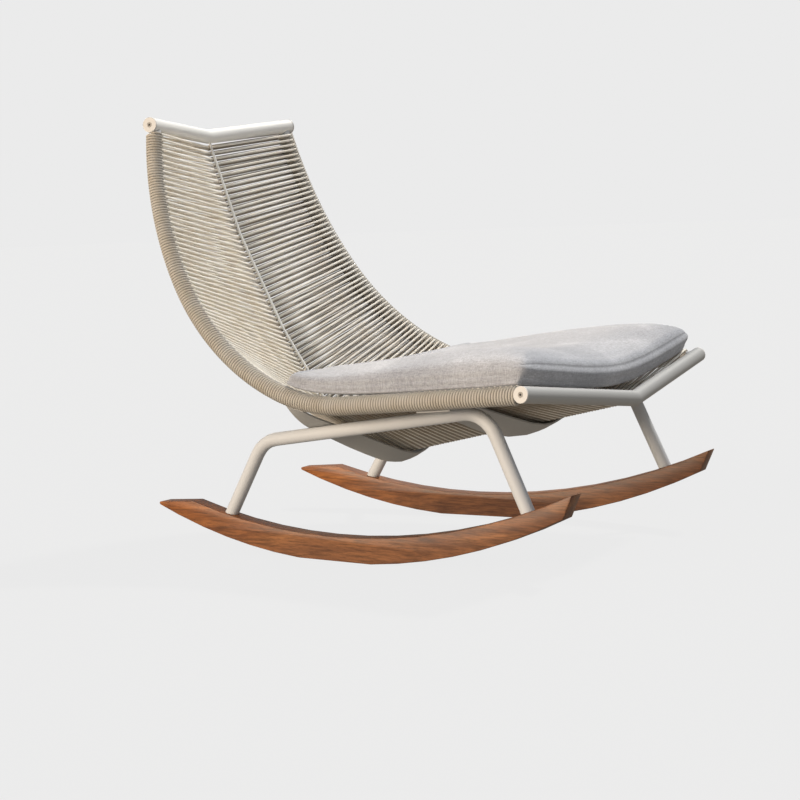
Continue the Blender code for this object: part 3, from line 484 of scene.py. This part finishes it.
class Nodes:
    """Short calls for a material's node tree."""

    def __init__(self, name):
        self.material = bpy.data.materials.new(name)
        self.material.use_nodes = True
        self.tree = self.material.node_tree
        self.shader = self.tree.nodes["Principled BSDF"]

    def add(self, kind, **values):
        """A new node of this kind, with these settings."""
        node = self.tree.nodes.new(kind)
        for key, value in values.items():
            setattr(node, key, value)
        return node

    def link(self, out, into):
        """Join an output to an input."""
        self.tree.links.new(out, into)

    def place(self, scale=(1.0, 1.0, 1.0)):
        """Object coordinates, scaled along each axis."""
        coords = self.add("ShaderNodeTexCoord")
        mapping = self.add("ShaderNodeMapping")
        mapping.inputs["Scale"].default_value = scale
        self.link(coords.outputs["Object"], mapping.inputs["Vector"])
        return mapping.outputs["Vector"]

    def split(self, vector):
        """The X, Y and Z of a vector."""
        node = self.add("ShaderNodeSeparateXYZ")
        self.link(vector, node.inputs["Vector"])
        return node.outputs

    def kept(self, name):
        """The values that the mesh keeps under a name."""
        return self.add("ShaderNodeAttribute", attribute_name=name).outputs["Fac"]

    def noise(self, vector, scale, detail, roughness=0.55, distortion=0.0):
        """Cloudy values about 0.5."""
        node = self.add("ShaderNodeTexNoise")
        node.inputs["Scale"].default_value = scale
        node.inputs["Detail"].default_value = detail
        node.inputs["Roughness"].default_value = roughness
        node.inputs["Distortion"].default_value = distortion
        self.link(vector, node.inputs["Vector"])
        return node.outputs["Fac"]

    def ramp(self, value, *stops):
        """Colours by value, from stops of (value, colour)."""
        node = self.add("ShaderNodeValToRGB")
        ramp = node.color_ramp
        while len(ramp.elements) < len(stops):
            ramp.elements.new(0.5)
        for element, (place, colour) in zip(ramp.elements, stops):
            element.position = place
            element.color = (*colour, 1.0)
        self.link(value, node.inputs["Fac"])
        return node.outputs["Color"]

    def line(self, value, slope, start):
        """The value times slope, plus start."""
        return self.math("ADD", self.math("MULTIPLY", value, slope), start)

    def math(self, operation, first, second=None):
        """One or two values put through an operation."""
        node = self.add("ShaderNodeMath")
        node.operation = operation
        for socket, value in zip(node.inputs, (first, second)):
            if value is None:
                continue
            if isinstance(value, (int, float)):
                socket.default_value = value
            else:
                self.link(value, socket)
        return node.outputs[0]

    def mix(self, factor, first, second, blend="MIX"):
        """Two colours blended by a factor."""
        node = self.add("ShaderNodeMix")
        node.data_type = "RGBA"
        node.blend_type = blend
        for socket, value in zip((node.inputs[0], node.inputs[6], node.inputs[7]), (factor, first, second)):
            if isinstance(value, (int, float)):
                socket.default_value = value
            elif isinstance(value, tuple):
                socket.default_value = (*value, 1.0)
            else:
                self.link(value, socket)
        return node.outputs[2]

    def bump(self, height, strength, distance):
        """A relief from heights."""
        node = self.add("ShaderNodeBump")
        node.inputs["Strength"].default_value = strength
        node.inputs["Distance"].default_value = distance
        self.link(height, node.inputs["Height"])
        return node.outputs["Normal"]

    def finish(self, colour, roughness, normal):
        """The material, with these on its shader."""
        self.link(colour, self.shader.inputs["Base Color"])
        if isinstance(roughness, float):
            self.shader.inputs["Roughness"].default_value = roughness
        else:
            self.link(roughness, self.shader.inputs["Roughness"])
        self.link(normal, self.shader.inputs["Normal"])
        return self.material


def grey(value):
    """A colour without hue."""
    return (value, value, value)


def timber():
    """Oiled hardwood: long figure, fine dark streaks and pores, and painted warm light towards the rear."""
    n = Nodes("oiled_timber")
    figure = n.noise(n.place((9.0, 1.1, 9.0)), scale=3.2, detail=5.0, roughness=0.6, distortion=0.9)
    colour = n.ramp(figure, (0.30, (0.105, 0.037, 0.015)), (0.46, (0.180, 0.069, 0.026)),
                    (0.58, (0.240, 0.096, 0.035)), (0.74, (0.340, 0.145, 0.053)))
    grain = n.noise(n.place((120.0, 5.0, 120.0)), scale=2.4, detail=4.0, roughness=0.65, distortion=0.3)
    streak = n.ramp(grain, (0.38, grey(0.42)), (0.58, grey(1.05)))
    colour = n.mix(0.75, colour, streak, "MULTIPLY")
    pores = n.noise(n.place((420.0, 16.0, 420.0)), scale=2.0, detail=2.0, roughness=0.5)
    dark = n.ramp(pores, (0.34, grey(0.45)), (0.44, grey(1.0)))
    colour = n.mix(0.6, colour, dark, "MULTIPLY")
    # painted light: the warm light on the rockers' rear ends, as a redder tint towards the rear
    rear = n.ramp(n.split(n.place())["Y"], (0.12, grey(0.0)), (0.46, grey(0.52)))
    painted_warm_light = n.mix(1.0, colour, (1.9, 1.45, 0.42), "MULTIPLY")
    colour = n.mix(rear, colour, painted_warm_light)
    rough = n.line(grain, slope=0.22, start=0.36)
    return n.finish(colour, rough, n.bump(n.math("ADD", pores, grain), strength=0.25, distance=0.0006))


def coat(name, tint):
    """Powder coat: fine orange peel, faint unevenness of tone."""
    n = Nodes(name)
    tone = n.noise(n.place(), scale=14.0, detail=3.0)
    colour = n.ramp(tone, (0.3, tuple(0.95 * part for part in tint)), (0.7, tint))
    peel = n.noise(n.place(), scale=900.0, detail=2.0)
    rough = n.line(tone, slope=0.12, start=0.48)
    n.shader.inputs["Specular IOR Level"].default_value = 0.3
    return n.finish(colour, rough, n.bump(peel, strength=0.18, distance=0.0003))


def bare_steel():
    """Turned steel with fine lines."""
    n = Nodes("bare_steel")
    lines = n.noise(n.place((30.0, 30.0, 400.0)), scale=6.0, detail=3.0)
    colour = n.ramp(lines, (0.3, grey(0.30)), (0.7, grey(0.46)))
    rough = n.line(lines, slope=0.2, start=0.25)
    n.shader.inputs["Metallic"].default_value = 1.0
    return n.finish(colour, rough, n.bump(lines, strength=0.1, distance=0.0002))


def braided_cord():
    """Cream braided cord, its plait drawn from the length and turn in the UV map."""
    n = Nodes("braided_cord")
    coords = n.split(n.add("ShaderNodeUVMap", uv_map="braid").outputs["UV"])
    length = coords["X"]
    circle = 2.0 * math.pi
    slant = n.math("MULTIPLY", coords["Y"], 3.0)
    one = n.math("SINE", n.math("MULTIPLY", n.math("ADD", length, slant), circle))
    two = n.math("SINE", n.math("MULTIPLY", n.math("SUBTRACT", length, slant), circle))
    plait = n.line(n.math("MULTIPLY", one, two), slope=0.5, start=0.5)
    cloud = n.noise(n.place(), scale=26.0, detail=4.0)
    colour = n.ramp(cloud, (0.28, (0.85, 0.775, 0.66)), (0.5, (0.92, 0.865, 0.77)),
                    (0.72, (0.95, 0.915, 0.85)))
    shade = n.ramp(plait, (0.0, grey(0.86)), (0.6, grey(1.0)))
    colour = n.mix(0.7, colour, shade, "MULTIPLY")
    # painted shade by the kept tone: the close turns and rear strands darken, the front strands keep their
    # own spread near 1
    tone_and_painted_shade = n.ramp(n.kept("tone"), (0.74, (0.34, 0.29, 0.24)), (0.80, (0.48, 0.47, 0.46)),
                 (0.86, (0.70, 0.66, 0.60)), (0.92, grey(0.96)), (1.0, grey(1.0)))
    colour = n.mix(1.0, colour, tone_and_painted_shade, "MULTIPLY")
    n.shader.inputs["Sheen Weight"].default_value = 0.15
    n.shader.inputs["Sheen Roughness"].default_value = 0.5
    return n.finish(colour, 0.78, n.bump(plait, strength=0.25, distance=0.0005))


def woven_fabric():
    """Heathered grey weave with slubs and a faint cloudy fading, darker in the sewn line."""
    n = Nodes("woven_fabric")
    cloud = n.noise(n.place(), scale=7.5, detail=3.0, roughness=0.5, distortion=0.4)
    colour = n.ramp(cloud, (0.32, (0.315, 0.325, 0.36)), (0.52, (0.36, 0.37, 0.405)),
                    (0.72, (0.46, 0.47, 0.505)))
    threads = ((70, 420, 420), (420, 70, 420), (420, 420, 70))
    ways = [n.noise(n.place(thread), scale=1.0, detail=3.0, roughness=0.6) for thread in threads]
    yarn = n.math("MULTIPLY", n.math("ADD", n.math("ADD", ways[0], ways[1]), ways[2]), 1.0 / 3.0)
    slub = n.ramp(yarn, (0.40, grey(0.55)), (0.60, grey(1.20)))
    colour = n.mix(0.7, colour, slub, "MULTIPLY")
    sewn = n.ramp(n.kept("sewn"), (0.55, grey(1.0)), (0.95, grey(0.62)))
    colour = n.mix(1.0, colour, sewn, "MULTIPLY")
    n.shader.inputs["Sheen Weight"].default_value = 0.2
    n.shader.inputs["Sheen Roughness"].default_value = 0.6
    return n.finish(colour, 0.9, n.bump(yarn, strength=0.5, distance=0.0008))


def smoothing():
    """Nodes that join the frame's facets and shade them smooth up to an angle."""
    group = bpy.data.node_groups.new("smooth_by_angle", "GeometryNodeTree")
    for way in ("INPUT", "OUTPUT"):
        group.interface.new_socket("Geometry", in_out=way, socket_type="NodeSocketGeometry")
    new = group.nodes.new
    plain = new("GeometryNodeRemoveAttribute")
    plain.inputs["Name"].default_value = "custom_normal"
    weld = new("GeometryNodeMergeByDistance")
    weld.inputs["Distance"].default_value = WELD
    smooth = new("GeometryNodeSetShadeSmooth")
    angle = new("GeometryNodeInputMeshEdgeAngle")
    steep = new("FunctionNodeCompare")
    steep.operation = "GREATER_THAN"
    steep.inputs[1].default_value = math.radians(SMOOTH_ANGLE)
    sharp = new("GeometryNodeSetShadeSmooth")
    sharp.domain = "EDGE"
    sharp.inputs["Shade Smooth"].default_value = False
    chain = [new("NodeGroupInput"), plain, weld, smooth, sharp, new("NodeGroupOutput")]
    for one, two in zip(chain, chain[1:]):
        group.links.new(one.outputs[0], two.inputs[0])
    group.links.new(angle.outputs[0], steep.inputs[0])
    group.links.new(steep.outputs[0], sharp.inputs["Selection"])
    return group


def paint(piece, material):
    """Give a piece this material alone."""
    piece.data.materials.clear()
    piece.data.materials.append(material)


MATERIALS = {
    "timber": timber(),
    "coated_aluminium": coat("powder_coat", WHITE),
    "coated_steel": coat("powder_coat_steel", WHITE),
    "cap": coat("moulded_cap", CAP_WHITE),
    "steel": bare_steel(),
    "cord": braided_cord(),
    "fabric": woven_fabric(),
}
SMOOTHING = smoothing()
PAINTED_LIGHT_COAT = coat("powder_coat_painted_light", PAINTED_LIGHT_WHITE)
PAINTED_SHADE_COAT = coat("powder_coat_painted_shade", PAINTED_SHADE_WHITE)
PAINTED_SCREW = coat("painted_screw", SCREW_GREY)
# near black painted shade for the screws' sockets
SOCKET_SHADE_COAT = coat("socket", SOCKET_PAINTED_SHADE)
# painted light on the spine and top bar, painted shade on the front bar and saddles
LIGHT_AND_SHADE_COATS = {
    "spine_rod": PAINTED_LIGHT_COAT,
    "top_bar": PAINTED_LIGHT_COAT,
    "front_bar": PAINTED_SHADE_COAT,
    "saddle_rear": PAINTED_SHADE_COAT,
    "saddle_front": PAINTED_SHADE_COAT,
}


def paint_socket_shade(node):
    """Painted shade, a near black coat, on the walls and floor of a screw's socket, found by how near its
    axis they lie.
    """
    spots = np.array([vert.co for vert in node.data.vertices])
    spots -= spots.mean(axis=0)
    axis = np.linalg.svd(spots, full_matrices=False)[2][0]
    away = np.linalg.norm(spots - np.outer(spots @ axis, axis), axis=1)
    node.data.materials.append(SOCKET_SHADE_COAT)
    for face in node.data.polygons:
        if away[list(face.vertices)].max() < SOCKET_REACH:
            face.material_index = 1


def dress_frame():
    """A material for each node of the frame by its slot or name, and smooth shading."""
    for entry in frame["record"]["subparts"]:
        name = entry["node"]
        node = NODES[name]
        node.modifiers.new("smooth", "NODES").node_group = SMOOTHING
        if name.startswith("end_screw"):
            paint(node, PAINTED_SCREW)
            paint_socket_shade(node)
        else:
            paint(node, LIGHT_AND_SHADE_COATS.get(name, MATERIALS[entry["material_slot"]]))


def wind_cord():
    """The close turns round the rails, and the two layers of strands."""
    for label in SIDES:
        coil = cords(f"rail_cord_{label}", [coil_line(label)], (COIL_PAINTED_SHADE,))
        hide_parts(f"rail_wrap_{label}")
        sling = cords(f"sling_{label}", *strand_lines(label))
        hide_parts(f"rope_seat_{label}", f"rope_lower_back_{label}", f"rope_upper_back_{label}")
        for piece in (coil, sling):
            paint(piece, MATERIALS["cord"])
            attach(piece, "frame")


def lay_cushion():
    """The seat cushion, which lies loose in the sling."""
    cloth, *places = cushion_mesh()
    cushion = show("seat_cushion", cloth)
    plump(cushion, *places)
    paint(cushion, MATERIALS["fabric"])
    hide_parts("cushion")
    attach(cushion, "pad")


def backdrop_material(name, tone, glow):
    """A plain matt surface that also glows, so that it stays even."""
    n = Nodes(name)
    n.shader.inputs["Base Color"].default_value = (*grey(tone), 1.0)
    n.shader.inputs["Roughness"].default_value = 0.9
    n.shader.inputs["Specular IOR Level"].default_value = 0.0
    n.shader.inputs["Emission Color"].default_value = (1.0, 1.0, 1.0, 1.0)
    n.shader.inputs["Emission Strength"].default_value = glow
    return n.material


def sun(name, source, strength, colour, angle):
    """A soft directional light that comes from source."""
    light = bpy.data.lights.new(name, "SUN")
    light.energy = strength
    light.color = colour
    light.angle = math.radians(angle)
    lamp = bpy.data.objects.new(name, light)
    lamp.rotation_euler = Vector(source).to_track_quat("Z", "Y").to_euler()
    bpy.context.scene.collection.objects.link(lamp)


def backdrop():
    """A pale floor and dome that the camera sees and that throw no light on the object."""
    reach = FLOOR_REACH
    floor_mesh = bpy.data.meshes.new("floor")
    corners = [(-reach, -reach, 0), (reach, -reach, 0), (reach, reach, 0), (-reach, reach, 0)]
    floor_mesh.from_pydata(corners, [], [(0, 1, 2, 3)])
    floor = show("floor", floor_mesh)
    paint(floor, backdrop_material("pale_floor", FLOOR_TONE, FLOOR_GLOW))
    dome_mesh = bpy.data.meshes.new("backdrop")
    shell = bmesh.new()
    bmesh.ops.create_uvsphere(shell, u_segments=2 * DOME_RINGS, v_segments=DOME_RINGS, radius=DOME_RADIUS)
    shell.to_mesh(dome_mesh)
    shell.free()
    dome = show("backdrop", dome_mesh)
    paint(dome, backdrop_material("backdrop", 0.0, PALE))
    for piece in (floor, dome):
        piece.visible_diffuse = False
        piece.visible_glossy = False
        piece.visible_transmission = False
    dome.visible_shadow = False


def sky():
    """A world whose light changes with height, warm below and cool above."""
    world = bpy.data.worlds.new("studio")
    bpy.context.scene.world = world
    world.use_nodes = True
    tree = world.node_tree
    coords = tree.nodes.new("ShaderNodeTexCoord")
    split = tree.nodes.new("ShaderNodeSeparateXYZ")
    height = tree.nodes.new("ShaderNodeMapRange")
    height.inputs["From Min"].default_value = -1.0
    colours = tree.nodes.new("ShaderNodeValToRGB")
    for place, _ in SKY[1:-1]:
        colours.color_ramp.elements.new(place)
    for element, (place, colour) in zip(colours.color_ramp.elements, SKY):
        element.position = place
        element.color = (*colour, 1.0)
    tree.links.new(coords.outputs["Generated"], split.inputs["Vector"])
    tree.links.new(split.outputs["Z"], height.inputs["Value"])
    tree.links.new(height.outputs["Result"], colours.inputs["Fac"])
    tree.links.new(colours.outputs["Color"], tree.nodes["Background"].inputs["Color"])


def suns():
    """A high key light and a low warm one from the side."""
    sun("key", source=(0.60, -0.12, 0.79), strength=3.3, colour=(1.0, 0.965, 0.90), angle=5.0)
    sun("side", source=(-0.90, 0.36, 0.22), strength=3.6, colour=(1.0, 0.83, 0.64), angle=30.0)


def camera():
    """The photo's view."""
    data = bpy.data.cameras.new("camera")
    data.lens = CAMERA_LENS
    data.sensor_width = CAMERA_SENSOR
    view = bpy.data.objects.new("camera", data)
    view.location = CAMERA_PLACE
    view.rotation_euler = tuple(math.radians(angle) for angle in CAMERA_TURN)
    bpy.context.scene.collection.objects.link(view)
    bpy.context.scene.camera = view


dress_frame()
wind_cord()
lay_cushion()
backdrop()
sky()
suns()
camera()
bpy.context.scene.view_settings.view_transform = "Standard"
